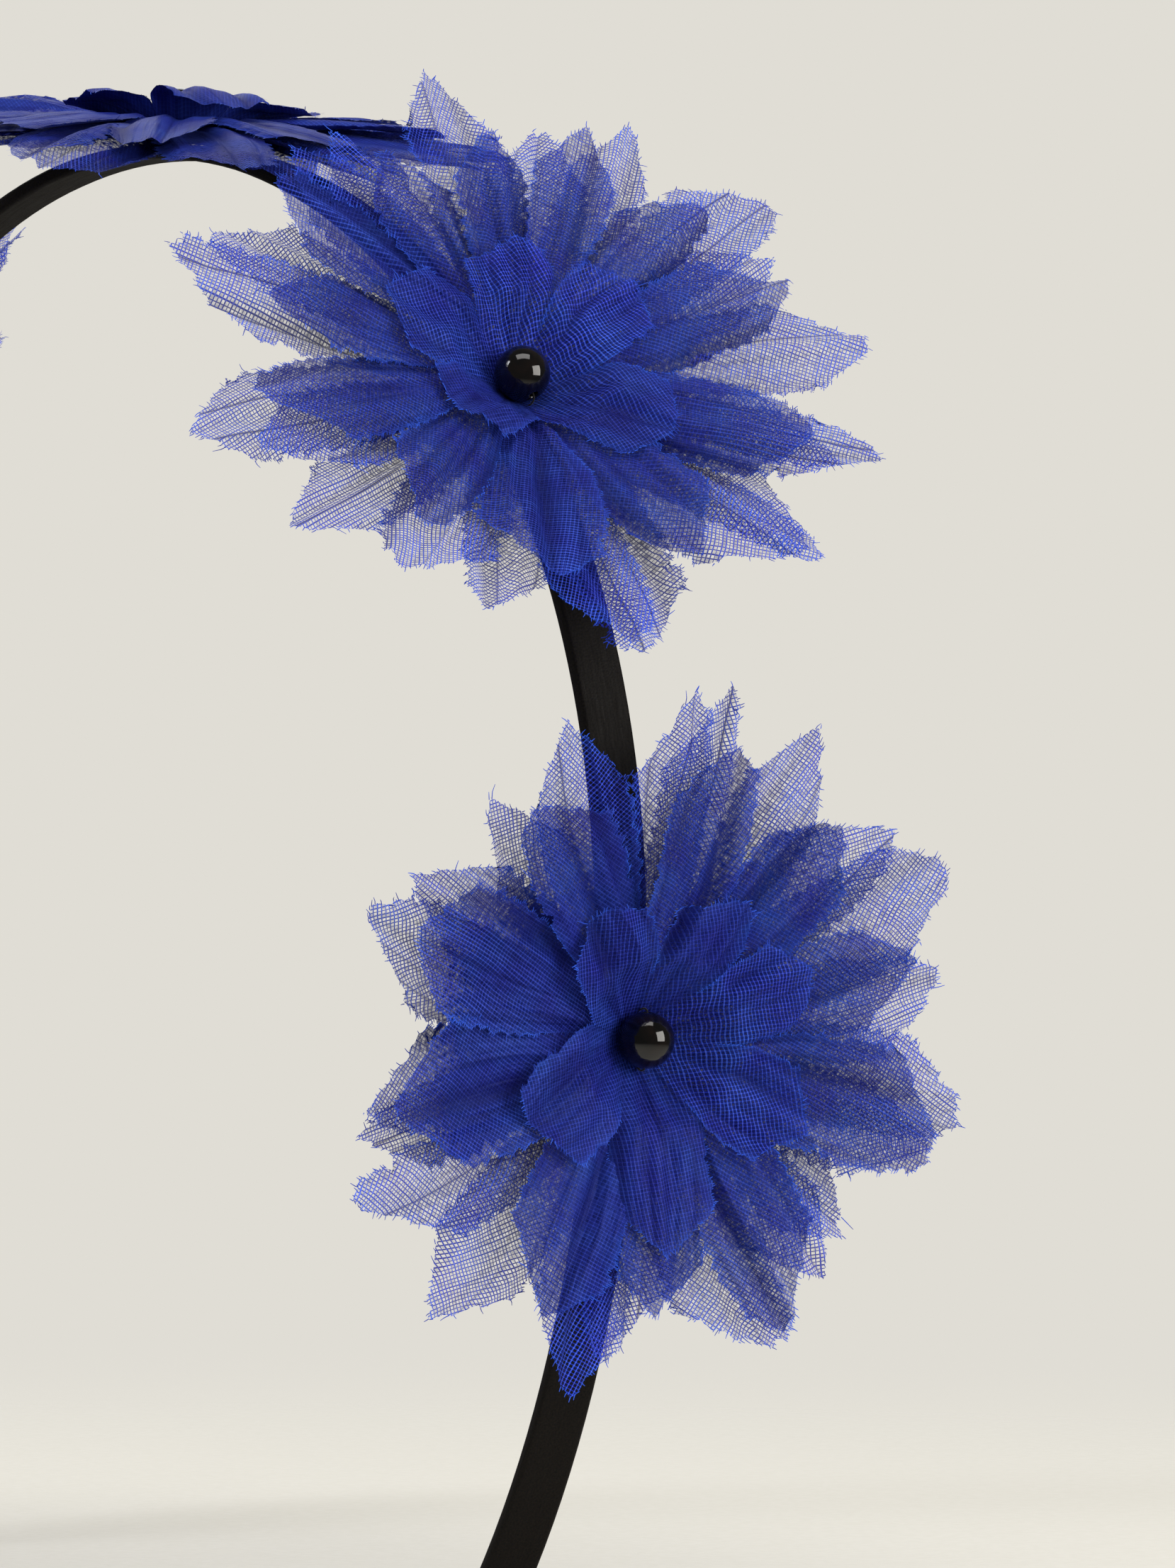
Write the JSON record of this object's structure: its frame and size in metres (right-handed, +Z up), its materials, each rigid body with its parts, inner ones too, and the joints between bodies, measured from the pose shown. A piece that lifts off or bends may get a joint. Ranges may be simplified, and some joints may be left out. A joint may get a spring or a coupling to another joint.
{
  "type": "headband with fabric flowers",
  "caption": "Narrow satin-covered headband with round layered organza flowers sewn along it, each with a glossy bead at its centre.",
  "frame": {"origin": "middle of the band's inner face at the crown, where it sits on the head", "axes": "+Z up out of the crown, -Y to the front of the head, +X to the wearer's left; the band lies in the XZ plane"},
  "size_m": [0.1873, 0.076, 0.1668],
  "materials": {
    "satin": "black satin ribbon over a stiff core",
    "organza": "sheer ultramarine organza with frayed edges",
    "bead": "polished black"
  },
  "bodies": {
    "root": {"band": "satin", "top_petals_back": "organza", "top_petals_front": "organza", "top_petals_middle": "organza", "top_petals_inner": "organza", "top_bead": "bead", "right_upper_petals_back": "organza", "right_upper_petals_front": "organza", "right_upper_petals_middle": "organza", "right_upper_petals_inner": "organza", "right_upper_bead": "bead", "right_lower_petals_back": "organza", "right_lower_petals_front": "organza", "right_lower_petals_middle": "organza", "right_lower_petals_inner": "organza", "right_lower_bead": "bead", "left_upper_petals_back": "organza", "left_upper_petals_front": "organza", "left_upper_petals_middle": "organza", "left_upper_petals_inner": "organza", "left_upper_bead": "bead", "left_lower_petals_back": "organza", "left_lower_petals_front": "organza", "left_lower_petals_middle": "organza", "left_lower_petals_inner": "organza", "left_lower_bead": "bead"}
  },
  "joints": []
}
